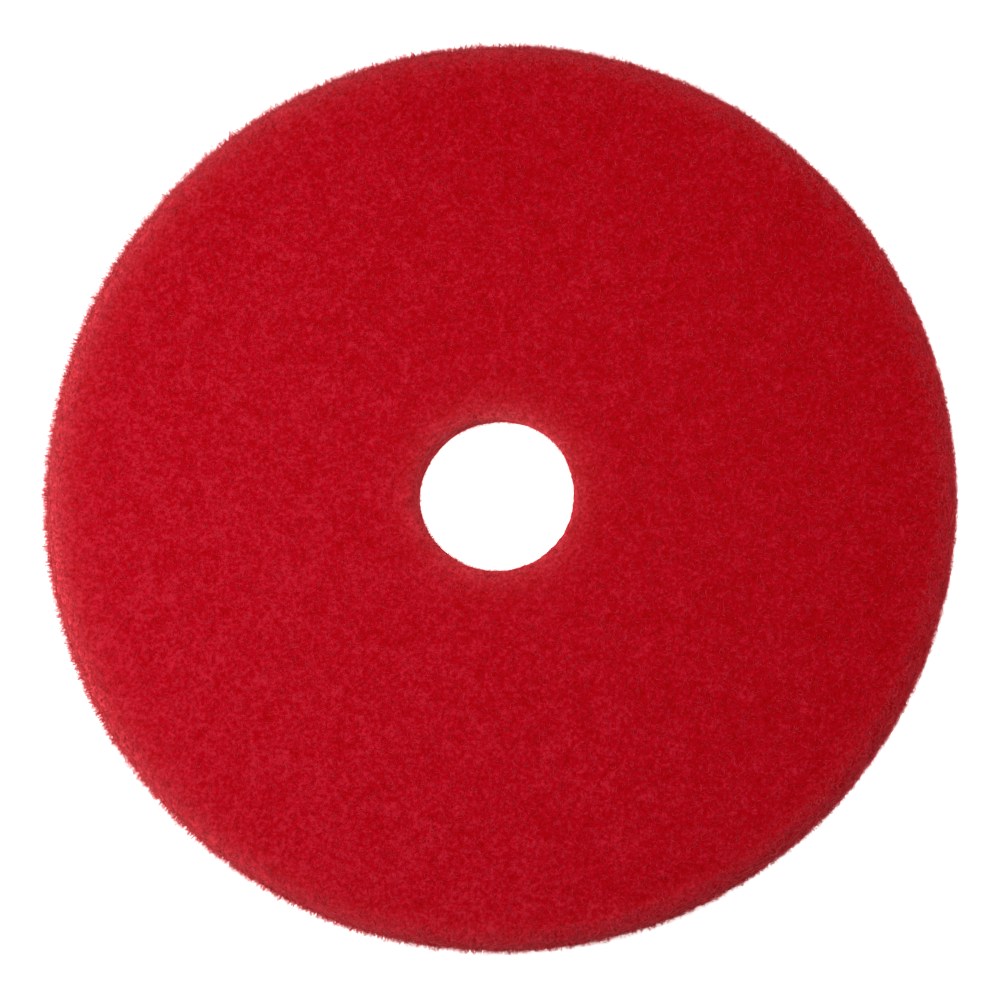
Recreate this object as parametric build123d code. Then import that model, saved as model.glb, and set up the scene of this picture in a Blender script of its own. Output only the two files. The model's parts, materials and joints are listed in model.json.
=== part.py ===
"""Round floor pad for a rotary floor machine, in millimetres.

The pad is a thick disc of nonwoven fibre web, die-cut from a sheet, with a round hole through
its centre that drops over the centring ring of the machine's pad driver. It lies flat on the
floor: +Z is up, and the origin is at the middle of the face that it lies on.

The web is one bonded piece with three layers. Resin is sprayed on from both sides, so a thin,
dense layer at each face encloses a softer, more open core. The two face layers are the same, and
the pad can be used on either. Each layer is one solid in its own STEP file, and the layers meet
face to face.
"""

from build123d import *
import os

# Driving dimensions
PAD_DIAMETER = 508.0  # a 20 inch pad
PAD_THICKNESS = 25.4  # 1 inch
HOLE_DIAMETER = 85.7  # 3 3/8 inch, which clears a 3 1/4 inch centring ring
FACE_LAYER_THICKNESS = 3.0
RIM_SHOULDER_WIDTH = 10.0  # each face rolls over this far in from the rim, where the die pressed it
RIM_SHOULDER_DROP = 6.5
HOLE_SHOULDER_WIDTH = 5.0  # and this far out from the hole
HOLE_SHOULDER_DROP = 2.6

# Worked out from them
PAD_RADIUS = PAD_DIAMETER / 2
HOLE_RADIUS = HOLE_DIAMETER / 2
FLAT_RADIUS = PAD_RADIUS - RIM_SHOULDER_WIDTH
FLAT_START_RADIUS = HOLE_RADIUS + HOLE_SHOULDER_WIDTH
LOWER_SPLIT = FACE_LAYER_THICKNESS
UPPER_SPLIT = PAD_THICKNESS - FACE_LAYER_THICKNESS


def rim_shoulder(height: float, start_angle: float) -> Edge:
    """One rolled-over corner of the rim, a quarter of an ellipse about a centre at this height."""
    return EllipticalCenterArc(
        center=(FLAT_RADIUS, height),
        x_radius=RIM_SHOULDER_WIDTH,
        y_radius=RIM_SHOULDER_DROP,
        start_angle=start_angle,
        arc_size=90,
    )


def hole_shoulder(height: float, start_angle: float) -> Edge:
    """One rolled-over corner of the hole, a quarter of an ellipse in the same way."""
    return EllipticalCenterArc(
        center=(FLAT_START_RADIUS, height),
        x_radius=HOLE_SHOULDER_WIDTH,
        y_radius=HOLE_SHOULDER_DROP,
        start_angle=start_angle,
        arc_size=90,
    )


def pad_section() -> Face:
    """The pad's section in the XZ plane, on the +X side of the axis."""
    rim_corner = PAD_THICKNESS - RIM_SHOULDER_DROP
    hole_corner = PAD_THICKNESS - HOLE_SHOULDER_DROP
    with BuildSketch(Plane.XZ) as section:
        with BuildLine():
            Line((FLAT_START_RADIUS, 0), (FLAT_RADIUS, 0))
            rim_shoulder(RIM_SHOULDER_DROP, 270)
            Line((PAD_RADIUS, RIM_SHOULDER_DROP), (PAD_RADIUS, rim_corner))
            rim_shoulder(rim_corner, 0)
            Line((FLAT_RADIUS, PAD_THICKNESS), (FLAT_START_RADIUS, PAD_THICKNESS))
            hole_shoulder(hole_corner, 90)
            Line((HOLE_RADIUS, hole_corner), (HOLE_RADIUS, HOLE_SHOULDER_DROP))
            hole_shoulder(HOLE_SHOULDER_DROP, 180)
        make_face()
    return section.sketch.face()


def layer(whole: Part, bottom: float, top: float) -> Part:
    """The slice of the whole pad between two heights."""
    slab = Cylinder(
        PAD_DIAMETER, top - bottom, align=(Align.CENTER, Align.CENTER, Align.MIN)
    )
    return whole & Pos(0, 0, bottom) * slab


def main() -> None:
    """Builds the three layers and writes one STEP file for each."""
    whole = revolve(pad_section(), axis=Axis.Z)
    layers = {
        "lower_face_layer": layer(whole, 0.0, LOWER_SPLIT),
        "core_web": layer(whole, LOWER_SPLIT, UPPER_SPLIT),
        "upper_face_layer": layer(whole, UPPER_SPLIT, PAD_THICKNESS),
    }
    os.makedirs("parts", exist_ok=True)
    for name, solid in layers.items():
        export_step(solid, f"parts/{name}.step")
        print(name, "volume_cm3", round(solid.volume / 1000, 1))


main()
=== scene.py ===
"""Looks of a round nonwoven floor pad for a rotary floor machine, in metres.

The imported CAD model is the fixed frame: two resin-rich face layers with an open core between
them. Each of the three solids is replaced by a closed body with the web's uneven skin. Crimped
fibres, each a thin closed tube, lie along that skin, arch over it and stand out of its cut
edges.
"""

import json
import logging
import math
from dataclasses import dataclass, field
from enum import Enum

import bpy
import numpy as np
from mathutils import Matrix, Vector


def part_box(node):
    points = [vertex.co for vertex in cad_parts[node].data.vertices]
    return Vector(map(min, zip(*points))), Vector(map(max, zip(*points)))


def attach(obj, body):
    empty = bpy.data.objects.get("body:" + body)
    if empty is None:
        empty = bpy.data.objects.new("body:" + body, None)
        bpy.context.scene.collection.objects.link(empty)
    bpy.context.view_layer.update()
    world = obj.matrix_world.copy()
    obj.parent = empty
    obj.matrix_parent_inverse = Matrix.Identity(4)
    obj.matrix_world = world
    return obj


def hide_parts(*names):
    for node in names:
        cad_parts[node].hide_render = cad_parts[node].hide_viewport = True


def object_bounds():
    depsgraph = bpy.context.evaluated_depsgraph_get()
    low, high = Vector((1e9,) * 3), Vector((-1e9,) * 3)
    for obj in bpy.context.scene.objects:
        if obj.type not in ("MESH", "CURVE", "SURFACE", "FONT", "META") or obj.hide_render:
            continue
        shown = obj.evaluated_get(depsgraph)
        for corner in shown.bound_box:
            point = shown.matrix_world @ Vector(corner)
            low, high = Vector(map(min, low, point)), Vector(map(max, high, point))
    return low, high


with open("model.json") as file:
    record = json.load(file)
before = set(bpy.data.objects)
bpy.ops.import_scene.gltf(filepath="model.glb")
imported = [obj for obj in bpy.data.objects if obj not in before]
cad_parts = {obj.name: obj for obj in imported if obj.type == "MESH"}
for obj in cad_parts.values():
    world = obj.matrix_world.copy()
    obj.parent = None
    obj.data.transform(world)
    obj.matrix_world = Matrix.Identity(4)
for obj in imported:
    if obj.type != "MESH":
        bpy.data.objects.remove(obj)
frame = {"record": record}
cad_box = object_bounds()

LOG = logging.getLogger("floor_pad")
BODY = "root"
MM = 0.001
TURN = 2 * math.pi
STATIONS = 4001  # how many steps the section is searched in
TONE_AND_SHADE = "tone"  # the point attribute for how raised a spot of the web is, or for a fibre's own tone; the finishes paint shade with it, darker in hollows and at sunk fibre ends
FRAY_AND_SHEEN = "fray_and_sheen"  # the point attribute for how much the web frays near a cut edge; its pale red there is partly painted sheen, stronger on the side the key light comes from


def smooth(share: np.ndarray) -> np.ndarray:
    """Eases 0 to 1, and holds the ends."""
    held = np.clip(share, 0.0, 1.0)
    return held * held * (3 - 2 * held)


def unit(vectors: np.ndarray) -> np.ndarray:
    """The same vectors with a length of 1, along the last axis."""
    return vectors / np.maximum(np.linalg.norm(vectors, axis=-1, keepdims=True), 1e-12)


AXIS_KEYS = (73856093, 19349663, 83492791)  # large primes that tell lattice points apart
SEED_KEY = 2654435761  # a large prime that tells seeds apart
MIXER = np.uint64(0xBF58476D1CE4E5B9)  # an odd number that stirs a key's bits
LATTICE_SHIFT = 500.0  # keeps every lattice number above zero
LUMP_GAIN = 1.6  # brings the noise's peaks up to about 1


@dataclass(frozen=True)
class Unevenness:
    """One size of lump in the web: how wide it is, how high, and how flat it lies."""

    width: float
    height: float
    seed: int
    flatness: float = 1.0

    def _corner(self, at: np.ndarray) -> np.ndarray:
        """A direction of length 1 for each lattice point.

        Args:
            at: whole-number lattice points, one row each.

        Returns:
            One vector for each row, the same for the same point on every run.
        """
        key = np.full(len(at), self.seed * SEED_KEY, np.uint64)
        for axis, prime in zip(at.astype(np.uint64).T, AXIS_KEYS):
            key ^= axis * np.uint64(prime)
        shares = []
        for _ in range(2):
            key ^= key >> np.uint64(29)
            key *= MIXER
            key ^= key >> np.uint64(32)
            shares.append((key >> np.uint64(11)).astype(float) / float(1 << 53))
        around, rise = shares[0] * TURN, shares[1] * 2 - 1
        flat = np.sqrt(1 - rise * rise)
        return np.stack([flat * np.cos(around), flat * np.sin(around), rise], axis=1)

    def at(self, points: np.ndarray) -> np.ndarray:
        """The height of the lumps at some points.

        Args:
            points: places in the frame, one row each.

        Returns:
            One height for each row, about -height to +height.
        """
        scaled = points / self.width * np.array([1.0, 1.0, self.flatness]) + LATTICE_SHIFT
        low = np.floor(scaled)
        part = scaled - low
        ease = part**3 * (part * (part * 6 - 15) + 10)
        total = np.zeros(len(points))
        for corner in np.ndindex(2, 2, 2):
            step = np.array(corner)
            weight = np.prod(np.where(step, ease, 1 - ease), axis=1)
            total += weight * np.sum(self._corner(low + step) * (part - step), axis=1)
        return total * LUMP_GAIN * self.height


@dataclass(frozen=True)
class Wave:
    """One wave of the cut outline: how often it goes round, its height in mm, and its start."""

    times: int
    height: float
    start: float

    def at(self, angle: np.ndarray) -> np.ndarray:
        """How far the wave stands out at some angles, in millimetres."""
        return self.height * np.cos(self.times * angle + self.start)


class Zone(Enum):
    """The stretches of the pad's skin, in the order in which its section is walked."""

    BORE = "bore"
    BORE_TOP = "bore_top"
    TOP = "top"
    RIM_TOP = "rim_top"
    RIM = "rim"
    RIM_BOTTOM = "rim_bottom"
    BOTTOM = "bottom"
    BORE_BOTTOM = "bore_bottom"


@dataclass
class PadForm:
    """The pad's outer form, walked as one closed section that turns about the hole's axis."""

    pad_radius: float
    hole_radius: float
    thickness: float
    shoulder_width: float = 10.0 * MM
    shoulder_drop: float = 6.5 * MM
    hole_shoulder_width: float = 5.0 * MM
    hole_shoulder_drop: float = 0.9 * MM
    rim_waves: tuple[Wave, ...] = (
        Wave(2, 0.95, -5.9),
        Wave(3, 0.40, 2.2),
        Wave(6, 0.15, -0.4),
        Wave(11, 0.12, 2.0),
        Wave(17, 0.10, 1.1),
    )
    rim_wave_reach: float = 0.06
    hole_growth: float = 0.9
    hole_waves: tuple[Wave, ...] = (
        Wave(1, 0.36, 2.5),
        Wave(2, 0.86, 0.06),
        Wave(3, 0.38, 3.14),
        Wave(5, 0.15, 2.1),
    )
    hole_wave_reach: float = 0.03
    # The paler loose ends at the cut edges, partly painted sheen, stronger on the side the key
    # light comes from; that side also has the most nap.
    fray_and_sheen_width: float = 6.0 * MM
    fuzz_and_light_side: float = math.radians(172)
    lit_side_sheen_bias: float = 0.5
    rim_fray_and_sheen: float = 0.66
    hole_fray_and_sheen: float = 0.72
    hole_lit_sheen_bias: float = -0.15
    fray_depth: float = 0.5 * MM
    crown_width: float = 32.0 * MM
    crown_drop: float = 0.9 * MM
    dip_side: float = math.radians(20)
    dip_width: float = 16.0 * MM
    dip_depth: float = 2.6 * MM
    step: float = 0.2 * MM
    lumps: tuple[Unevenness, ...] = (
        Unevenness(11.0 * MM, 0.16 * MM, 11, 2.0),
        Unevenness(5.2 * MM, 0.20 * MM, 12, 2.4),
        Unevenness(3.4 * MM, 0.16 * MM, 13, 2.0),
    )
    stations: dict[Zone, tuple[float, float]] = field(default_factory=dict)

    def __post_init__(self) -> None:
        """Walks the section and keeps its points, normals and lengths."""
        hole, rim, top = self.hole_radius, self.pad_radius, self.thickness
        drop, hole_drop = self.shoulder_drop, self.hole_shoulder_drop
        flat, flat_start = rim - self.shoulder_width, hole + self.hole_shoulder_width
        bend, corner = (self.shoulder_width, drop), (self.hole_shoulder_width, hole_drop)
        runs = [
            (Zone.BORE, self._line((hole, hole_drop), (hole, top - hole_drop))),
            (Zone.BORE_TOP, self._arc((flat_start, top - hole_drop), corner, 180, 90)),
            (Zone.TOP, self._line((flat_start, top), (flat, top))),
            (Zone.RIM_TOP, self._arc((flat, top - drop), bend, 90, 0)),
            (Zone.RIM, self._line((rim, top - drop), (rim, drop))),
            (Zone.RIM_BOTTOM, self._arc((flat, drop), bend, 0, -90)),
            (Zone.BOTTOM, self._line((flat, 0.0), (flat_start, 0.0))),
            (Zone.BORE_BOTTOM, self._arc((flat_start, hole_drop), corner, -90, -180)),
        ]
        points, normals, walked, start = [], [], [], 0.0
        for zone, (run, facing) in runs:
            steps = np.linalg.norm(np.diff(run, axis=0), axis=1)
            far = start + np.concatenate([[0.0], np.cumsum(steps)])
            self.stations[zone] = (start, float(far[-1]))
            points.append(run)
            normals.append(facing)
            walked.append(far)
            start = float(far[-1])
        self.section = np.concatenate(points)
        self.facing = np.concatenate(normals)
        self.walked = np.concatenate(walked)
        self.around = start

    def _line(
        self, start: tuple[float, float], end: tuple[float, float]
    ) -> tuple[np.ndarray, np.ndarray]:
        """A straight run of the section and its normals."""
        count = max(2, round(math.dist(start, end) / self.step))
        along = np.linspace(start, end, count + 1)
        ahead = unit(np.array(end) - np.array(start))
        return along, np.tile([-ahead[1], ahead[0]], (count + 1, 1))

    def _arc(
        self,
        centre: tuple[float, float],
        radii: tuple[float, float],
        begin: float,
        end: float,
    ) -> tuple[np.ndarray, np.ndarray]:
        """A rolled-over corner and its normals, between two angles in degrees."""
        count = max(6, round(max(radii) * abs(math.radians(end - begin)) / self.step))
        turn = np.radians(np.linspace(begin, end, count + 1))
        wheel = np.stack([np.cos(turn), np.sin(turn)], axis=1)
        return np.array(centre) + wheel * np.array(radii), unit(wheel / np.array(radii))

    def place(self, walk: np.ndarray) -> tuple[np.ndarray, np.ndarray]:
        """Where the skin is at a distance walked along its section.

        Args:
            walk: distances in metres; the section closes, so they may run past its end.

        Returns:
            The points as radius and height, and the normals there.
        """
        held = np.mod(walk, self.around)
        shape = held.shape
        point = [np.interp(held.ravel(), self.walked, self.section[:, i]) for i in (0, 1)]
        normal = [np.interp(held.ravel(), self.walked, self.facing[:, i]) for i in (0, 1)]
        point = np.stack(point, axis=-1).reshape(*shape, 2)
        return point, unit(np.stack(normal, axis=-1).reshape(*shape, 2))

    def stretch(self, zones: tuple[Zone, ...], count: int) -> np.ndarray:
        """Even steps along the section, from the start of some zones to their end."""
        return np.linspace(self.stations[zones[0]][0], self.stations[zones[-1]][1], count)

    def outline_shift(self, angle: np.ndarray, radius: np.ndarray) -> np.ndarray:
        """How far the die-cut outline strays from true round.

        Args:
            angle: angles about the hole's axis.
            radius: distances from that axis.

        Returns:
            The outward shift in metres at each place.
        """
        rim = sum(wave.at(angle) for wave in self.rim_waves)
        hole = sum((wave.at(angle) for wave in self.hole_waves), self.hole_growth)
        reach = self.rim_wave_reach
        near_rim = smooth((radius - (self.pad_radius - reach)) / reach)
        near_hole = smooth(1 - (radius - self.hole_radius) / self.hole_wave_reach)
        return (rim * MM - self.fray_depth) * near_rim + hole * MM * near_hole

    def sinking(self, place: np.ndarray, angle: np.ndarray) -> np.ndarray:
        """How far the upper side sinks towards the rim, and to one side of the hole.

        Args:
            place: radius and height of places on the section.
            angle: angles about the hole's axis.

        Returns:
            The drop in metres at each place.
        """
        out = smooth((place[..., 0] - (self.pad_radius - self.crown_width)) / self.crown_width)
        dip = np.exp((self.hole_radius - place[..., 0]) / self.dip_width)
        dip = dip * (1 + np.cos(angle - self.dip_side)) / 2
        drop = self.crown_drop * out + self.dip_depth * dip
        return drop * smooth(place[..., 1] / self.thickness)

    def bias(self, angle: np.ndarray, amount: float) -> np.ndarray:
        """How much more of something there is on the side of the pad that frays most, which is
        also the side the key light comes from, about 1.
        """
        return 1 + amount * np.cos(angle - self.fuzz_and_light_side)

    def fray_and_sheen(self, radius: np.ndarray, angle: np.ndarray) -> np.ndarray:
        """How much the web frays, and how much sheen its pale red paints there, from about 1 at
        its cut edges to 0 well away from them, more on the sides of the rim and the hole that
        face the key light.

        Args:
            radius: distances from the hole's axis.
            angle: angles about that axis.

        Returns:
            One share for each place.
        """
        near_rim = np.exp((radius - self.pad_radius) / self.fray_and_sheen_width)
        near_hole = np.exp((self.hole_radius - radius) / self.fray_and_sheen_width)
        # painted sheen: more on the lit side of the rim, and of the hole
        near_rim = near_rim * self.rim_fray_and_sheen * self.bias(angle, self.lit_side_sheen_bias)
        near_hole = near_hole * self.hole_fray_and_sheen * self.bias(angle, self.hole_lit_sheen_bias)
        return np.clip(near_rim + near_hole, 0.0, 1.0)

    def relief(self, points: np.ndarray) -> np.ndarray:
        """The height of the web's uneven skin above its true form at some points."""
        return sum(lump.at(points) for lump in self.lumps)

    def skin(self, walk: np.ndarray, angle: np.ndarray, rise: np.ndarray) -> np.ndarray:
        """Points on or off the uneven skin.

        Args:
            walk: distances along the section.
            angle: angles about the hole's axis.
            rise: heights above the skin.

        Returns:
            The points in the frame, in the arrays' own shape with one more axis.
        """
        place, normal = self.place(walk)
        flat = self.turned(place, angle)
        lifted = rise + self.relief(flat.reshape(-1, 3)).reshape(rise.shape)
        out = place + normal * lifted[..., None]
        out[..., 0] += self.outline_shift(angle, place[..., 0])
        out[..., 1] -= self.sinking(place, angle)
        return self.turned(out, angle)

    @staticmethod
    def turned(place: np.ndarray, angle: np.ndarray) -> np.ndarray:
        """Points of the section, turned about the hole's axis."""
        radius, height = place[..., 0], place[..., 1]
        return np.stack([radius * np.cos(angle), radius * np.sin(angle), height], axis=-1)


def make_piece(
    name: str, points: np.ndarray, faces: list, looks: dict[str, np.ndarray]
) -> bpy.types.Object:
    """A smooth mesh object with the attributes that its finish reads.

    Args:
        name: the piece's name.
        points: vertices, one row each.
        faces: lists of vertex numbers.
        looks: a value at each vertex for each attribute.

    Returns:
        The object, linked to the scene.
    """
    mesh = bpy.data.meshes.new(name)
    mesh.from_pydata(points.tolist(), [], faces)
    for key, values in looks.items():
        mesh.attributes.new(key, "FLOAT", "POINT")
        mesh.attributes[key].data.foreach_set("value", values.astype(np.float32))
    mesh.shade_smooth()
    mesh.update()
    piece = bpy.data.objects.new(name, mesh)
    bpy.context.scene.collection.objects.link(piece)
    return piece


@dataclass(frozen=True)
class Ring:
    """One ring of a body's mesh: its place in the section and how many points it has."""

    radius: float
    height: float
    facing: tuple[float, float]
    count: int
    offset: float
    on_skin: bool


@dataclass
class WebLayer:
    """One bonded layer of the web, as a closed body of rings zipped together."""

    name: str
    node: str
    slot: str
    form: PadForm
    bottom: float
    top: float
    spacing: float = 1.7 * MM
    seam_spacing: float = 1.7 * MM
    bore_spacing: float = 0.9 * MM
    inner_spacing: float = 12.0 * MM
    bond_inset: float = 2.5 * MM
    row_share: float = 0.87
    row_twist: float = 0.382
    fewest_points: int = 24
    floor_blend: float = 1.5 * MM
    # how far the relief must rise to take its colour from darkest to palest: painted shade in
    # its hollows
    relief_shade_swing: float = 0.5 * MM

    def _skin_run(self, begin: float, end: float) -> list[Ring]:
        """Rings along the skin between two distances of the section, seams included."""
        count = max(2, round((end - begin) / (self.spacing * self.row_share)))
        walk = np.linspace(begin, end, count + 1)
        place, facing = self.form.place(walk)
        rings = []
        for i in range(count + 1):
            seam = i in (0, count)
            radius, height = place[i]
            step = self.seam_spacing if seam else self.spacing
            if radius < self.form.hole_radius + self.form.hole_shoulder_width:
                step = self.bore_spacing
            points = max(self.fewest_points, round(TURN * radius / step))
            offset = 0.0 if seam else (i * self.row_twist) % 0.5
            rings.append(Ring(radius, height, tuple(facing[i]), points, offset, True))
        return rings

    def _bond_run(self, height: float, begin: float, end: float) -> list[Ring]:
        """Coarse rings across the bond with the next layer, seams left out."""
        inset = self.bond_inset * (1 if end > begin else -1)
        count = max(2, round(abs(end - begin) / self.inner_spacing))
        rings = []
        for radius in np.linspace(begin + inset, end - inset, count + 1):
            points = max(self.fewest_points, round(TURN * radius / self.inner_spacing))
            rings.append(Ring(radius, height, (0.0, 0.0), points, 0.0, False))
        return rings

    def _walk_of(self, zones: tuple[Zone, ...], height: float) -> float:
        """The distance along the section at which these zones pass a height."""
        walk = self.form.stretch(zones, STATIONS)
        heights = self.form.place(walk)[0][:, 1]
        return float(walk[np.argmin(np.abs(heights - height))])

    def rings(self) -> list[Ring]:
        """The closed run of rings round the layer's section."""
        bore = (Zone.BORE, Zone.BORE_TOP)
        rim = (Zone.RIM_TOP, Zone.RIM, Zone.RIM_BOTTOM)
        at_bottom, at_top = self.bottom <= 0, self.top >= self.form.thickness
        if at_top:
            begin, end = self._walk_of(bore, self.bottom), self._walk_of(rim, self.bottom)
            rings = self._skin_run(begin, end)
        elif at_bottom:
            begin, end = self._walk_of(rim, self.top), self._walk_of(bore, self.top)
            rings = self._skin_run(begin, end + self.form.around)
        else:
            inner = (self._walk_of(bore, self.bottom), self._walk_of(bore, self.top))
            outer = (self._walk_of(rim, self.top), self._walk_of(rim, self.bottom))
            rings = self._skin_run(*inner)
            far = float(self.form.place(np.array([outer[0]]))[0][0][0])
            rings += self._bond_run(self.top, rings[-1].radius, far)
            rings += self._skin_run(*outer)
        height = self.top if at_bottom else self.bottom
        rings += self._bond_run(height, rings[-1].radius, rings[0].radius)
        return rings

    def _points(self, rings: list[Ring]) -> tuple[np.ndarray, dict[str, np.ndarray]]:
        """The rings' vertices and what their finish reads there.

        Args:
            rings: the closed run of rings.

        Returns:
            The vertices, one row each, and a value for each of them for each attribute.
        """
        turns = [(np.arange(r.count) + r.offset) / r.count for r in rings]
        angle = np.concatenate([turn * TURN for turn in turns])
        spread = [r.count for r in rings]
        place = np.repeat([(r.radius, r.height) for r in rings], spread, axis=0)
        facing = np.repeat([r.facing for r in rings], spread, axis=0)
        skin = np.repeat([float(r.on_skin) for r in rings], spread)
        lift = self.form.relief(self.form.turned(place, angle)) * skin
        floor_side = smooth(1 - place[:, 1] / self.floor_blend)
        lift = lift * (1 - floor_side) - np.abs(lift) * floor_side
        sunk = self.form.sinking(place, angle)
        place = place + facing * lift[:, None]
        place[:, 0] += self.form.outline_shift(angle, place[:, 0])
        place[:, 1] -= sunk
        looks = {
            # painted shade: the colour darkens where the relief dips and pales where it rises
            TONE_AND_SHADE: np.clip(0.5 + lift / self.relief_shade_swing * 0.5, 0.0, 1.0),
            # paler loose ends near cut edges, partly painted sheen
            FRAY_AND_SHEEN: self.form.fray_and_sheen(place[:, 0], angle),
        }
        return self.form.turned(place, angle), looks

    @staticmethod
    def _zip(low: Ring, high: Ring, low_start: int, high_start: int) -> np.ndarray:
        """Triangles between two rings that may differ in their number of points.

        Args:
            low: the ring that comes first along the section.
            high: the next ring.
            low_start: the number of the first ring's first vertex.
            high_start: the number of the next ring's first vertex.

        Returns:
            Vertex numbers, three for each triangle, facing outward.
        """
        low_mid = (np.arange(low.count) + low.offset + 0.5) / low.count
        high_mid = (np.arange(high.count) + high.offset + 0.5) / high.count
        edge = np.arange(low.count)
        apex = np.searchsorted(high_mid, low_mid, side="left") % high.count
        first = np.stack(
            [low_start + edge, high_start + apex, low_start + (edge + 1) % low.count], axis=1
        )
        edge = np.arange(high.count)
        apex = np.searchsorted(low_mid, high_mid, side="right") % low.count
        second = np.stack(
            [low_start + apex, high_start + edge, high_start + (edge + 1) % high.count], axis=1
        )
        return np.concatenate([first, second])

    def build(self, finish: "WebFinish") -> bpy.types.Object:
        """Makes the layer's body, dresses it and lets it stand for its CAD node.

        Args:
            finish: the finish that the body wears.

        Returns:
            The finished piece.
        """
        rings = self.rings()
        points, looks = self._points(rings)
        starts = np.concatenate([[0], np.cumsum([r.count for r in rings])])
        faces = []
        for i, low in enumerate(rings):
            j = (i + 1) % len(rings)
            faces.append(self._zip(low, rings[j], int(starts[i]), int(starts[j])))
        piece = make_piece(self.name, points, np.concatenate(faces).tolist(), looks)
        piece.data.materials.append(finish.material())
        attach(piece, BODY)
        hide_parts(self.node)
        LOG.info("%s: %d triangles", self.name, len(piece.data.polygons))
        return piece


class Lay(Enum):
    """How a fibre lies in the web."""

    BONDED = "bonded"  # along the skin, with both ends sunk in it
    ARCHED = "arched"  # both ends sunk, and the middle stands clear
    CUT = "cut"  # one end sunk, and the cut end stands out


ROOT_STATIONS = 2000  # how many steps a stretch of the section is drawn from
ROOTS_DRAWN = 4  # places drawn for each fibre, of which the best liked is kept
LEAST_LIKING = 0.02  # the liking that even the barest spot has
TUFT_SEED = 900  # sets a batch's tufts off from its other random numbers
TUFT_FLATNESS = 1.5
TUFT_PULL = 2  # how strongly fibres crowd into tufts
TUFT_LIFT = 0.5  # how much higher they stand there
NAP_LIFT = 0.6  # the share of the nap that shows in their height
LEAST_CRIMP = 0.4  # the straightest fibre's crimp, as a share of the batch's own
RIPPLE = 0.25  # how much a bonded fibre's height wavers
RIPPLE_PACE = 1.3  # how much faster it wavers than the crimp
CUT_CURVE = (0.7, 1.6)  # how cut ends rise: under 1 at once, over 1 late
SUNK_WIDTH = 0.45  # a sunk end's width, as a share of the fibre's
CUT_WIDTH = 0.75  # a cut end's width
SUNK_END_SHADE = 0.3  # painted shade: a sunk end's tone, as a share of the fibre's


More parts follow.
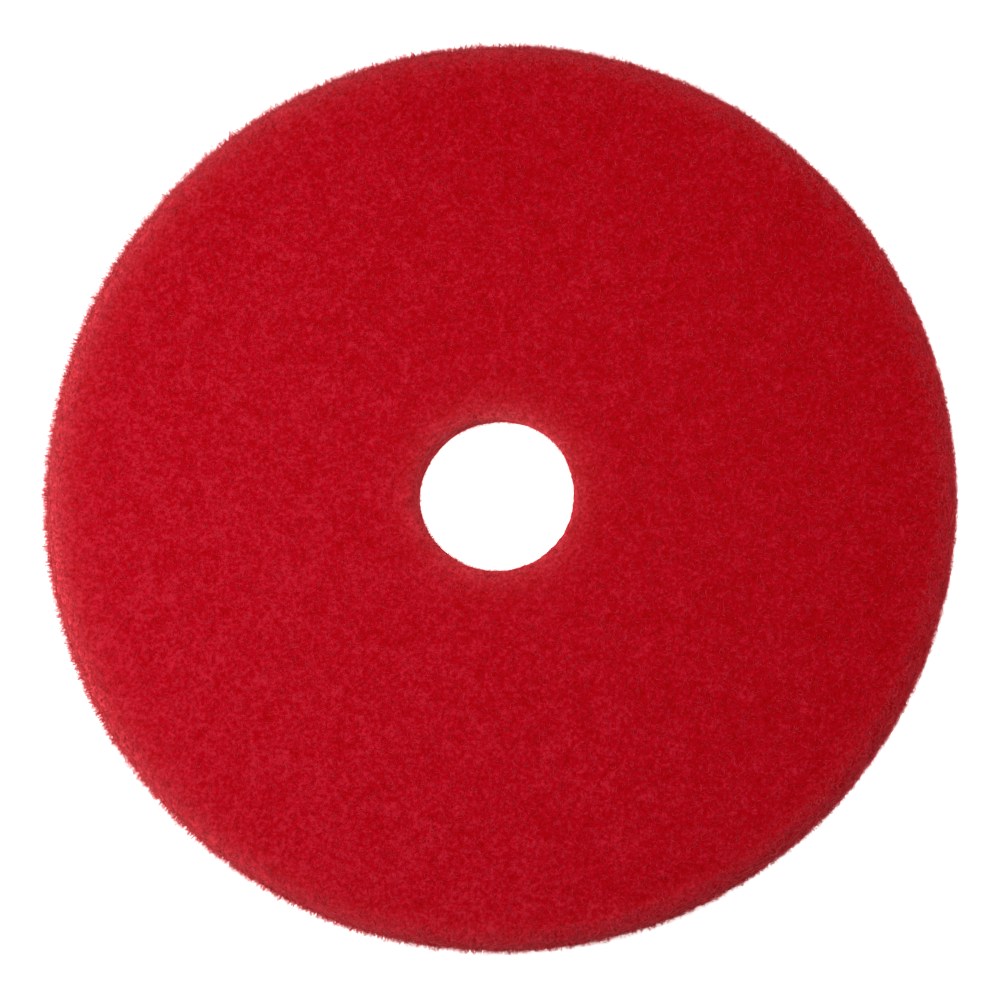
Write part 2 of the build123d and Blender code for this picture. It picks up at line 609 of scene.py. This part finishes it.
@dataclass
class FibreBatch:
    """A batch of crimped fibres of one kind on some stretches of the skin."""

    name: str
    slot: str
    form: PadForm
    zones: tuple[Zone, ...]
    lay: Lay
    count: int
    length: tuple[float, float]
    lift: tuple[float, float]
    seed: int
    thickness: tuple[float, float] = (0.18 * MM, 0.30 * MM)
    sink: float = 0.35 * MM
    rings: int = 9
    crimp: float = 0.45 * MM
    crimp_length: float = 6.0 * MM
    bow: float = 0.16
    rarity: float = 1.0
    flatness: float = 1.0
    heading: float = 0.0
    heading_spread: float = math.pi
    clump: float = 9.0 * MM
    clumping: float = 0.0
    nap: float = 0.0
    shoulder_share: float = 1.0
    tone: tuple[float, float] = (0.35, 1.0)
    sides: int = 3

    def _upright(self, walk: np.ndarray) -> np.ndarray:
        """How much of their length fibres keep at places that roll over from a cut wall."""
        facing = self.form.place(walk)[1][:, 0] ** 2
        return self.shoulder_share + (1 - self.shoulder_share) * facing

    def _anchors(
        self, rng: np.random.Generator
    ) -> tuple[np.ndarray, np.ndarray, np.ndarray]:
        """Where the fibres are rooted.

        Args:
            rng: the batch's random numbers.

        Returns:
            The distances along the section, the angles about the axis, and how tufted the web
            is there, about -1 to 1.
        """
        walk = self.form.stretch(self.zones, ROOT_STATIONS)
        share = np.cumsum(self.form.place(walk)[0][:, 0])
        drawn = self.count * ROOTS_DRAWN
        along = np.interp(rng.random(drawn) * share[-1], share, walk)
        angle = rng.random(drawn) * TURN
        at = self.form.turned(self.form.place(along)[0], angle)
        tuft = Unevenness(self.clump, 1.0, self.seed + TUFT_SEED, TUFT_FLATNESS).at(at)
        liking = self.form.bias(angle, self.nap) + self.clumping * tuft * TUFT_PULL
        liking = np.maximum(liking * self._upright(along), LEAST_LIKING)
        kept = np.argsort(rng.random(drawn) / liking, kind="stable")
        kept = np.sort(kept[: self.count])
        return along[kept], angle[kept], tuft[kept]

    def _centrelines(
        self, rng: np.random.Generator
    ) -> tuple[np.ndarray, np.ndarray, np.ndarray]:
        """The fibres' centrelines, how far along each they are raised, and which way is out.

        Args:
            rng: the batch's random numbers.

        Returns:
            Points for each fibre and ring, a share from 0, sunk, to 1, clear of the web, for
            each of them, and the skin's normal at each fibre.
        """
        count = self.count
        walk, angle, tuft = self._anchors(rng)
        t = np.linspace(0.0, 1.0, self.rings)[None, :]
        length = rng.uniform(*self.length, count)[:, None]
        rare = rng.random((count, 1)) ** self.rarity
        lift = self.lift[0] + (self.lift[1] - self.lift[0]) * rare
        standing = self.form.bias(angle, self.nap * NAP_LIFT)
        standing = standing * (1 + self.clumping * tuft * TUFT_LIFT)
        lift = lift * (standing * self._upright(walk))[:, None]
        head = self.heading + rng.uniform(-1, 1, (count, 1)) * self.heading_spread
        phase = rng.uniform(0, TURN, (count, 2))
        waves = TURN * t * length / self.crimp_length
        bow = rng.normal(0, self.bow, (count, 1)) * length * (t - 0.5) ** 2 * 4
        crimp = self.crimp * np.sin(waves + phase[:, :1])
        side = bow + crimp * rng.uniform(LEAST_CRIMP, 1.0, (count, 1))
        if self.lay is Lay.CUT:
            forward = length * t
            arch = t ** rng.uniform(*CUT_CURVE, (count, 1))
        else:
            forward = length * (t - 0.5)
            arch = np.sin(math.pi * t)
        if self.lay is Lay.BONDED:
            arch = arch**0.5 * (1 + RIPPLE * np.sin(waves * RIPPLE_PACE + phase[:, 1:]))
        rise = arch * (lift + self.sink) - self.sink
        along = forward * np.cos(head) - side * np.sin(head)
        across = forward * np.sin(head) + side * np.cos(head)
        outward = self.form.turned(self.form.place(walk)[1], angle)
        walk = walk[:, None] + along
        radius = self.form.place(walk)[0][..., 0]
        line = self.form.skin(walk, angle[:, None] + across / radius, rise)
        line[..., 2] = np.maximum(line[..., 2], self.thickness[1] / 2)
        return line, np.clip(arch, 0.0, 1.0), outward

    def _tubes(
        self, line: np.ndarray, width: np.ndarray, outward: np.ndarray
    ) -> tuple[np.ndarray, list]:
        """Closed tubes round the centrelines.

        Args:
            line: the centrelines' points.
            width: the tube's width at each point.
            outward: the direction off the web that each tube's ridge faces.

        Returns:
            The vertices and the faces.
        """
        count, rings, sides = self.count, self.rings, self.sides
        ahead = unit(np.gradient(line, axis=1))
        side = unit(np.cross(ahead, outward[:, None, :]))
        up = np.cross(side, ahead) * self.flatness
        turn = ((np.arange(sides) / sides + 0.25) * TURN)[:, None]
        wheel = side[:, :, None] * np.cos(turn) + up[:, :, None] * np.sin(turn)
        points = line[:, :, None] + wheel * width[:, :, None, None] / 2
        first = np.arange(count)[:, None, None] * rings * sides
        ring = np.arange(rings - 1)[None, :, None] * sides
        corner, following = np.arange(sides), (np.arange(sides) + 1) % sides
        walls = np.stack(
            [
                first + ring + corner,
                first + ring + following,
                first + ring + sides + following,
                first + ring + sides + corner,
            ],
            axis=-1,
        ).reshape(-1, 4)
        ends = first[:, :, 0]
        near = ends + corner[::-1]
        far = ends + (rings - 1) * sides + corner
        faces = walls.tolist() + near.tolist() + far.tolist()
        return points.reshape(-1, 3), faces

    def build(self, finish: "FibreFinish") -> bpy.types.Object:
        """Makes the batch as one mesh of closed tubes and dresses it.

        Args:
            finish: the finish that the fibres wear.

        Returns:
            The finished piece.
        """
        rng = np.random.default_rng(self.seed)
        line, clear, outward = self._centrelines(rng)
        taper = np.ones(self.rings)
        taper[0], taper[-1] = SUNK_WIDTH, CUT_WIDTH if self.lay is Lay.CUT else SUNK_WIDTH
        width = rng.uniform(*self.thickness, self.count)[:, None] * taper
        if self.lay is Lay.CUT:
            outward = unit(rng.normal(size=outward.shape))
        points, faces = self._tubes(line, width, outward)
        own = rng.uniform(*self.tone, self.count)[:, None]
        radius = np.linalg.norm(line[..., :2], axis=-1)
        angle = np.arctan2(line[..., 1], line[..., 0])
        looks = {
            # painted shade: a fibre's tone falls where it sinks into the web
            TONE_AND_SHADE: np.repeat((own * (SUNK_END_SHADE + (1 - SUNK_END_SHADE) * clear)).ravel(), self.sides),
            # paler loose ends near cut edges, partly painted sheen
            FRAY_AND_SHEEN: np.repeat(self.form.fray_and_sheen(radius, angle).ravel(), self.sides),
        }
        piece = make_piece(self.name, points, faces, looks)
        piece.data.materials.append(finish.material())
        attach(piece, BODY)
        LOG.info("%s: %d fibres, %d faces", self.name, self.count, len(piece.data.polygons))
        return piece


class NodeBoard:
    """A material's node tree, with short ways to add nodes and join them."""

    def __init__(self, name: str) -> None:
        """Makes the material with only its shader and its output."""
        self.material = bpy.data.materials.new(name)
        self.material.use_nodes = True
        self.tree = self.material.node_tree
        self.tree.nodes.clear()
        self.shader = self.tree.nodes.new("ShaderNodeBsdfPrincipled")
        output = self.tree.nodes.new("ShaderNodeOutputMaterial")
        self.tree.links.new(self.shader.outputs[0], output.inputs["Surface"])

    def feed(self, socket: bpy.types.NodeSocket, value: object) -> None:
        """Joins a socket to another, or sets its value."""
        if isinstance(value, bpy.types.NodeSocket):
            self.tree.links.new(value, socket)
        else:
            socket.default_value = value

    def add(self, kind: str, inputs: dict, **settings: object) -> bpy.types.Node:
        """Adds a node.

        Args:
            kind: the node's type, without its ShaderNode prefix.
            inputs: a value or a socket for each input, by name or number.
            settings: the node's own properties.

        Returns:
            The new node.
        """
        node = self.tree.nodes.new("ShaderNode" + kind)
        for key, value in settings.items():
            setattr(node, key, value)
        for key, value in inputs.items():
            self.feed(node.inputs[key], value)
        return node

    def math(self, operation: str, first: object, second: object = 0.0) -> bpy.types.NodeSocket:
        """The result of a sum on two values or sockets."""
        return self.add("Math", {0: first, 1: second}, operation=operation).outputs[0]

    def total(self, *parts: tuple[bpy.types.NodeSocket, float]) -> bpy.types.NodeSocket:
        """The sum of some sockets, each times its weight."""
        result = None
        for socket, weight in parts:
            part = self.math("MULTIPLY", socket, weight)
            result = part if result is None else self.math("ADD", result, part)
        return result

    def spread(
        self, value: object, low: float, high: float, to_low: float, to_high: float
    ) -> bpy.types.NodeSocket:
        """The value, with its range from low to high spread over another range."""
        inputs = {"Value": value, "From Min": low, "From Max": high}
        inputs.update({"To Min": to_low, "To Max": to_high})
        return self.add("MapRange", inputs).outputs["Result"]

    def attribute(self, name: str) -> bpy.types.NodeSocket:
        """A value that the mesh carries at its points."""
        return self.add("Attribute", {}, attribute_name=name).outputs["Fac"]

    def blend(
        self, share: bpy.types.NodeSocket, under: bpy.types.NodeSocket, over: tuple
    ) -> bpy.types.NodeSocket:
        """A colour that goes from one to another as the share goes from 0 to 1."""
        node = self.add("Mix", {}, data_type="RGBA")
        self.feed(node.inputs["Factor"], share)
        self.feed(node.inputs[6], under)
        self.feed(node.inputs[7], (*over, 1.0))
        return node.outputs[2]

    def noise(self, place: object, size: float, **inputs: float) -> bpy.types.NodeSocket:
        """Cloudy noise with blots of about this size in metres."""
        values = {"Vector": place, "Scale": 1.0 / size, **inputs}
        return self.add("TexNoise", values, normalize=True).outputs["Fac"]

    def ramp(self, share: object, stops: tuple) -> bpy.types.NodeSocket:
        """A colour ramp.

        Args:
            share: the socket that drives it.
            stops: a place from 0 to 1 and a colour for each stop.

        Returns:
            The colour socket.
        """
        node = self.add("ValToRGB", {"Fac": share})
        band = node.color_ramp
        for i, (place, colour) in enumerate(stops):
            stop = band.elements[i] if i < 2 else band.elements.new(place)
            stop.position = place
            stop.color = (*colour, 1.0)
        return node.outputs["Color"]


NOISE_RANGE = (0.3, 0.7)  # the range that most of a noise's values keep to


@dataclass(frozen=True)
class Reds:
    """The fibre's reds of its dye: a darkest red that paints shade in the web's pits, its own
    reds up to its palest tips, and a pale red for loose cut ends that is partly painted sheen.
    """

    # painted shade in the web's pits and hollows
    pit_shade: tuple[float, float, float] = (0.330, 0.0001, 0.0005)
    low: tuple[float, float, float] = (0.385, 0.0001, 0.0030)
    main: tuple[float, float, float] = (0.430, 0.0003, 0.0080)
    high: tuple[float, float, float] = (0.520, 0.0118, 0.0290)
    # loose cut ends, paler, and partly painted sheen
    fray_and_sheen_red: tuple[float, float, float] = (0.800, 0.0800, 0.1000)
    tip: tuple[float, float, float] = (0.640, 0.0450, 0.0620)


@dataclass(frozen=True)
class DrySheen:
    """The glow of loose fibre tips where the web turns away from the eye."""

    weight: float = 0.3
    roughness: float = 0.3
    tint: tuple[float, float, float, float] = (1.0, 0.17, 0.21, 1.0)
    shine: float = 0.015

    def put_on(self, shader: bpy.types.Node) -> None:
        """Sets the sheen and the slight gloss on a shader."""
        shader.inputs["Specular IOR Level"].default_value = self.shine
        shader.inputs["Sheen Weight"].default_value = self.weight
        shader.inputs["Sheen Roughness"].default_value = self.roughness
        shader.inputs["Sheen Tint"].default_value = self.tint


@dataclass(frozen=True)
class WebFinish:
    """The bonded web as a finish: a net of curled fibres over pits darkened as painted shade, a
    painted light slope, and a pale red at cut edges that is partly painted sheen.
    """

    name: str
    reds: Reds = Reds()
    sheen: DrySheen = DrySheen()
    net_sizes: tuple[float, ...] = (1.8 * MM, 1.2 * MM)
    net_shift: tuple[float, float, float] = (0.31, 0.17, 0.53)
    net_sharpness: float = 3.2
    pit_size: float = 2.2 * MM
    cloud_size: float = 10.0 * MM
    net_weight: float = 0.8
    pit_weight: float = 1.1
    cloud_weight: float = 0.42
    # painted shade: how much the relief's height darkens hollows and pales raised spots
    relief_shade_weight: float = 0.15
    # painted light: the colour pales steadily across the pad towards the side the key light
    # comes from
    painted_light_slope: tuple[float, float, float] = (-0.40, -0.18, 0.0)
    dye_and_shade_range: tuple[float, float] = (1.08, 1.80)
    # near cut edges, the pale red that is partly painted sheen spreads from raised spots to low
    # ones
    raised_range: tuple[float, float] = (1.1, 1.75)
    least_fray_and_sheen: float = 0.15
    roughness: tuple[float, float] = (0.45, 0.60)
    relief: float = 0.20 * MM
    relief_strength: float = 0.5

    def _net(
        self, board: NodeBoard, place: bpy.types.NodeSocket, size: float, layer: int
    ) -> bpy.types.NodeSocket:
        """Thin curled strands that run between cells of about this size.

        Args:
            board: the material's node tree.
            place: the place on the piece.
            size: the width of a cell.
            layer: the number of the net, which moves it off the others.

        Returns:
            A value from 0 in a cell to 1 on a strand.
        """
        shift = tuple(step * layer for step in self.net_shift)
        moved = board.add("VectorMath", {0: place, 1: shift}, operation="ADD").outputs[0]
        cells = board.noise(moved, size, Detail=1.0, Distortion=0.6)
        off_strand = board.math("ABSOLUTE", board.math("SUBTRACT", cells, 0.5))
        fall = board.math("MULTIPLY", off_strand, self.net_sharpness)
        return board.math("SUBTRACT", 1.0, fall)

    def material(self) -> bpy.types.Material:
        """The finish as a node material."""
        board = NodeBoard(self.name)
        place = board.add("TexCoord", {}).outputs["Object"]
        # the relief's height, which paints shade in the hollows
        tone = board.attribute(TONE_AND_SHADE)
        nets = [self._net(board, place, size, i) for i, size in enumerate(self.net_sizes)]
        net = board.total(*((one, 1 / len(nets)) for one in nets))
        pits = board.noise(place, self.pit_size, Detail=1.5)
        clouds = board.noise(place, self.cloud_size, Detail=2.0)
        # painted light: a slope towards the key light's side
        painted_light_slope = board.add("VectorMath", {0: place, 1: self.painted_light_slope}, operation="DOT_PRODUCT")
        # the colour follows the bump's height, so pits and cells come out darker as painted
        # shade; clouds add random tone
        mixed = board.total(
            (net, self.net_weight),
            (pits, self.pit_weight),
            (clouds, self.cloud_weight),
            (tone, self.relief_shade_weight),
            (painted_light_slope.outputs["Value"], 1.0),
        )
        share = board.spread(mixed, *self.dye_and_shade_range, 0.0, 1.0)
        reds = self.reds
        stops = ((0.0, reds.pit_shade), (1.0, reds.high), (0.25, reds.low), (0.55, reds.main))
        dye_and_shade = board.ramp(share, stops)
        # near cut edges the raised spots take the pale red: paler loose ends, partly painted
        # sheen
        raised = board.spread(mixed, *self.raised_range, self.least_fray_and_sheen, 1.0)
        fray_and_sheen_share = board.math("MULTIPLY", board.attribute(FRAY_AND_SHEEN), raised)
        board.feed(board.shader.inputs["Base Color"], board.blend(fray_and_sheen_share, dye_and_shade, reds.fray_and_sheen_red))
        rough = board.spread(pits, *NOISE_RANGE, *self.roughness)
        board.feed(board.shader.inputs["Roughness"], rough)
        height = board.total((net, 1.0), (pits, 0.8))
        inputs = {"Height": height, "Strength": self.relief_strength, "Distance": self.relief}
        board.feed(board.shader.inputs["Normal"], board.add("Bump", inputs).outputs[0])
        self.sheen.put_on(board.shader)
        return board.material


@dataclass(frozen=True)
class FibreFinish:
    """A single fibre's finish: its own dye colour, darkened at its sunk ends as painted shade,
    paler at cut edges with partly painted sheen, and a dry sheen.
    """

    name: str
    reds: Reds = Reds()
    sheen: DrySheen = DrySheen(weight=0.2)
    dye_size: float = 3.0 * MM
    dye_weight: float = 0.4
    dye_and_shade_range: tuple[float, float] = (0.10, 1.25)
    # the least share of the pale red near cut edges, which is partly painted sheen
    least_fray_and_sheen: float = 0.2
    roughness: tuple[float, float] = (0.4, 0.6)

    def material(self) -> bpy.types.Material:
        """The finish as a node material."""
        board = NodeBoard(self.name)
        place = board.add("TexCoord", {}).outputs["Object"]
        dye = board.noise(place, self.dye_size, Detail=2.0)
        # painted shade: the tone attribute is low at the sunk ends
        mixed = board.total((board.attribute(TONE_AND_SHADE), 1.0), (dye, self.dye_weight))
        share = board.spread(mixed, *self.dye_and_shade_range, 0.0, 1.0)
        reds = self.reds
        stops = ((0.0, reds.low), (1.0, reds.tip), (0.25, reds.main), (0.65, reds.high))
        dye_and_shade = board.ramp(share, stops)
        # near cut edges the pale red, partly painted sheen, takes over the palest parts
        raised = board.spread(share, 0.0, 0.8, self.least_fray_and_sheen, 1.0)
        fray_and_sheen_share = board.math("MULTIPLY", board.attribute(FRAY_AND_SHEEN), raised)
        board.feed(board.shader.inputs["Base Color"], board.blend(fray_and_sheen_share, dye_and_shade, reds.fray_and_sheen_red))
        rough = board.spread(dye, *NOISE_RANGE, *self.roughness)
        board.feed(board.shader.inputs["Roughness"], rough)
        self.sheen.put_on(board.shader)
        return board.material


@dataclass
class FibreCoat:
    """Every fibre of the pad, in batches from the top face round to the hole."""

    form: PadForm
    top: tuple[Zone, ...] = (Zone.BORE_TOP, Zone.TOP, Zone.RIM_TOP)
    rim: tuple[Zone, ...] = (Zone.RIM_TOP, Zone.RIM, Zone.RIM_BOTTOM)
    bottom: tuple[Zone, ...] = (Zone.RIM_BOTTOM, Zone.BOTTOM, Zone.BORE_BOTTOM)
    bore: tuple[Zone, ...] = (Zone.BORE, Zone.BORE_TOP)
    top_batches: int = 6
    rim_batches: int = 2

    def _top_fibres(self) -> list[FibreBatch]:
        """Short curls bonded flat to the top face, and more where it rolls over to the rim."""
        curl = dict(
            length=(1.8 * MM, 4.6 * MM), rings=6, crimp=0.45 * MM, crimp_length=3.2 * MM,
            bow=0.35,
        )
        batches = [
            FibreBatch(
                f"top_fibres_{i + 1}", "face_web", self.form, self.top, Lay.BONDED,
                count=6100, lift=(0.02 * MM, 0.20 * MM), seed=100 + i,
                thickness=(0.26 * MM, 0.46 * MM), clumping=0.4, flatness=0.3,
                tone=(0.25, 0.8), **curl,
            )
            for i in range(self.top_batches)
        ]
        batches.append(
            FibreBatch(
                "shoulder_fibres", "face_web", self.form, self.rim[:1], Lay.BONDED,
                count=6100, lift=(0.05 * MM, 0.45 * MM), seed=150,
                thickness=(0.24 * MM, 0.44 * MM), clump=3.0 * MM, clumping=0.8,
                flatness=0.5, **curl,
            )
        )
        return batches

    def _rim_fibres(self) -> list[FibreBatch]:
        """Long fibres and loops that arch along the rim's cut wall."""
        batches = [
            FibreBatch(
                f"rim_fibres_{i + 1}", "core_web", self.form, self.rim, Lay.ARCHED,
                count=3400, length=(4 * MM, 9 * MM), lift=(0.2 * MM, 1.7 * MM), seed=200 + i,
                thickness=(0.24 * MM, 0.40 * MM), heading=math.pi / 2, heading_spread=0.9,
                clump=5.0 * MM, clumping=0.6, crimp=0.5 * MM, crimp_length=4.0 * MM, bow=0.3,
                flatness=0.6, shoulder_share=0.15, tone=(0.55, 1.0),
            )
            for i in range(self.rim_batches)
        ]
        batches += [
            FibreBatch(
                f"rim_loops_{i + 1}", "core_web", self.form, zones, Lay.ARCHED,
                count=4500, length=(2.0 * MM, 5.5 * MM), lift=(0.4 * MM, 3.9 * MM),
                seed=300 + 10 * i, thickness=(0.18 * MM, 0.30 * MM), rings=7,
                heading=math.pi / 2, heading_spread=1.5, clump=3.0 * MM, clumping=0.9,
                nap=0.75, crimp=0.4 * MM, crimp_length=3.4 * MM, bow=0.3, rarity=1.8,
                flatness=0.7, shoulder_share=0.12,
            )
            for i, zones in enumerate((self.rim[:2], self.rim[1:]))
        ]
        return batches

    def _rim_cut_ends(self) -> list[FibreBatch]:
        """Cut ends that stand out of the rim in tufts."""
        upper, lower = self.rim[:2], self.rim[1:]
        return [
            FibreBatch(
                f"rim_cut_ends_{i + 1}", "core_web", self.form, zones, Lay.CUT,
                count=7400, length=(0.6 * MM, 2.4 * MM), lift=(0.3 * MM, 3.6 * MM),
                seed=301 + i, thickness=(0.18 * MM, 0.30 * MM), rings=5, clump=2.4 * MM,
                clumping=1.2, nap=0.7, crimp=0.3 * MM, crimp_length=3.0 * MM, rarity=1.9,
                shoulder_share=0.05, tone=(0.5, 1.0),
            )
            for i, zones in enumerate((upper, upper, lower, lower))
        ]

    def _hidden_fibres(self) -> list[FibreBatch]:
        """Curls on the underside, and fibres and short cut ends on the hole's wall."""
        return [
            FibreBatch(
                "bottom_fibres", "face_web", self.form, self.bottom, Lay.BONDED,
                count=4500, length=(3 * MM, 9 * MM), lift=(0.02 * MM, 0.20 * MM), seed=500,
                thickness=(0.20 * MM, 0.36 * MM), rings=8, clumping=0.4, crimp=0.5 * MM,
                crimp_length=4.0 * MM, bow=0.35, flatness=0.45,
            ),
            FibreBatch(
                "bore_fibres", "core_web", self.form, self.bore, Lay.BONDED,
                count=900, length=(4 * MM, 9 * MM), lift=(0.05 * MM, 0.30 * MM), seed=400,
                heading=math.pi / 2, heading_spread=0.6,
            ),
            FibreBatch(
                "bore_cut_ends", "core_web", self.form, self.bore, Lay.CUT,
                count=3600, length=(0.4 * MM, 1.6 * MM), lift=(0.2 * MM, 1.7 * MM), seed=401,
                thickness=(0.14 * MM, 0.22 * MM), rings=5, clumping=0.5, crimp=0.15 * MM,
                crimp_length=3.0 * MM, rarity=1.5,
            ),
        ]

    def build(self, finish: FibreFinish) -> list[bpy.types.Object]:
        """Makes and dresses every batch.

        Args:
            finish: the finish that all the fibres wear.

        Returns:
            The finished pieces.
        """
        batches = self._top_fibres() + self._rim_fibres() + self._rim_cut_ends()
        return [batch.build(finish) for batch in batches + self._hidden_fibres()]


@dataclass(frozen=True)
class SoftLight:
    """A square soft light that faces the pad."""

    name: str
    place: tuple[float, float, float]
    size: float
    energy: float

    def hang(self, target: Vector) -> bpy.types.Object:
        """Hangs the light so that it faces a point."""
        data = bpy.data.lights.new(self.name, "AREA")
        data.shape, data.size, data.energy = "SQUARE", self.size, self.energy
        light = bpy.data.objects.new(self.name, data)
        bpy.context.scene.collection.objects.link(light)
        light.location = self.place
        light.rotation_mode = "QUATERNION"
        light.rotation_quaternion = (target - Vector(self.place)).to_track_quat("-Z", "Y")
        light.visible_camera = False
        return light


@dataclass
class Studio:
    """The plain pale floor, the soft lights and the camera."""

    target: Vector
    distance: float = 2.35
    tilt: float = math.radians(8.5)
    toward: float = math.radians(-38)
    frame_width: float = 0.5566
    sensor: float = 36.0
    aim: tuple[float, float] = (2.86 * MM, -3.6 * MM)
    floor_size: float = 12.0
    floor_drop: float = 0.2 * MM
    floor_paleness: float = 0.92
    floor_glow: float = 0.90
    world_strength: float = 0.10
    backdrop_strength: float = 1.0
    lights: tuple[SoftLight, ...] = (
        SoftLight("key_light", (-1.25, -0.08, 0.95), 0.9, 25.9),
        SoftLight("fill_light", (1.35, 0.5, 0.95), 0.9, 1.8),
        SoftLight("low_back_light", (-0.1, 1.1, 0.3), 0.4, 1.3),
        SoftLight("low_right_light", (1.05, 0.3, 0.28), 0.4, 4.1),
        SoftLight("low_front_light", (-0.35, -1.05, 0.28), 0.4, 0.45),
        SoftLight("top_light", (0.06, 0.06, 0.63), 0.3, 1.10),
    )

    def floor(self) -> bpy.types.Object:
        """Lays the floor, just under the pad."""
        half = self.floor_size / 2
        corners = [(-half, -half), (half, -half), (half, half), (-half, half)]
        mesh = bpy.data.meshes.new("floor")
        mesh.from_pydata([(x, y, -self.floor_drop) for x, y in corners], [], [(0, 1, 2, 3)])
        floor = bpy.data.objects.new("floor", mesh)
        bpy.context.scene.collection.objects.link(floor)
        board = NodeBoard("pale_floor")
        board.shader.inputs["Base Color"].default_value = (*[self.floor_paleness] * 3, 1.0)
        board.shader.inputs["Roughness"].default_value = 1.0
        board.shader.inputs["Specular IOR Level"].default_value = 0.0
        board.shader.inputs["Emission Color"].default_value = (1.0, 1.0, 1.0, 1.0)
        board.shader.inputs["Emission Strength"].default_value = self.floor_glow
        mesh.materials.append(board.material)
        return floor

    def world(self) -> None:
        """Fills the room with weak, even light, and shows as a pale backdrop."""
        world = bpy.data.worlds.new("pale_room")
        world.use_nodes = True
        nodes, links = world.node_tree.nodes, world.node_tree.links
        room = nodes["Background"]
        room.inputs["Color"].default_value = (1.0, 1.0, 1.0, 1.0)
        strength = nodes.new("ShaderNodeMapRange")
        strength.inputs["To Min"].default_value = self.world_strength
        strength.inputs["To Max"].default_value = self.backdrop_strength
        links.new(nodes.new("ShaderNodeLightPath").outputs["Is Camera Ray"], strength.inputs[0])
        links.new(strength.outputs[0], room.inputs["Strength"])
        bpy.context.scene.world = world

    def camera(self) -> bpy.types.Object:
        """Sets the camera up over the pad, a little to its near right."""
        data = bpy.data.cameras.new("camera")
        data.sensor_width = self.sensor
        data.lens = self.sensor * self.distance / self.frame_width
        data.clip_start, data.clip_end = 0.05, 50.0
        camera = bpy.data.objects.new("camera", data)
        bpy.context.scene.collection.objects.link(camera)
        flat, height = math.sin(self.tilt), math.cos(self.tilt)
        away = Vector((flat * math.cos(self.toward), flat * math.sin(self.toward), height))
        right = Vector((0.0, 1.0, 0.0)).cross(away).normalized()
        up = away.cross(right)
        place = self.target + right * self.aim[0] + up * self.aim[1] + away * self.distance
        rows = [[right[i], up[i], away[i], place[i]] for i in range(3)]
        camera.matrix_world = Matrix([*rows, [0.0, 0.0, 0.0, 1.0]])
        bpy.context.scene.camera = camera
        return camera

    def build(self) -> None:
        """Sets up the floor, the lights, the room and the camera."""
        self.floor()
        self.world()
        for light in self.lights:
            light.hang(self.target)
        self.camera()
        bpy.context.scene.view_settings.view_transform = "Standard"
        LOG.info("studio: lens %.1f mm", bpy.context.scene.camera.data.lens)


def pad_form() -> PadForm:
    """The pad's form, with its sizes read from the frame."""
    low, high = cad_box
    bore = next(m for m in frame["record"]["mounts"] if m["name"] == "centre_hole")
    return PadForm(
        pad_radius=(high.x - low.x) / 2,
        hole_radius=bore["dims"]["r_mm"] * MM,
        thickness=high.z,
    )


def layers(form: PadForm) -> list[WebLayer]:
    """The three bonded layers."""
    lower_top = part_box("lower_face_layer")[1].z
    upper_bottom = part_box("upper_face_layer")[0].z
    return [
        WebLayer(
            "upper_face", "upper_face_layer", "face_web", form, upper_bottom, form.thickness
        ),
        WebLayer("core", "core_web", "core_web", form, lower_top, upper_bottom),
        WebLayer(
            "lower_face", "lower_face_layer", "face_web", form, 0.0, lower_top,
            spacing=2.4 * MM,
        ),
    ]


def write_sizes() -> None:
    """Updates the view layer."""
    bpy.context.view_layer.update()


def main() -> None:
    """Builds the studio, the three layers and the fibres, in that order."""
    logging.basicConfig(level=logging.INFO, format="%(name)s %(message)s")
    form = pad_form()
    Studio(Vector((0.0, 0.0, form.thickness))).build()
    web = WebFinish("bonded_web")
    for layer in layers(form):
        layer.build(web)
    FibreCoat(form).build(FibreFinish("dyed_fibre"))
    write_sizes()


if __name__ == "__main__":
    main()
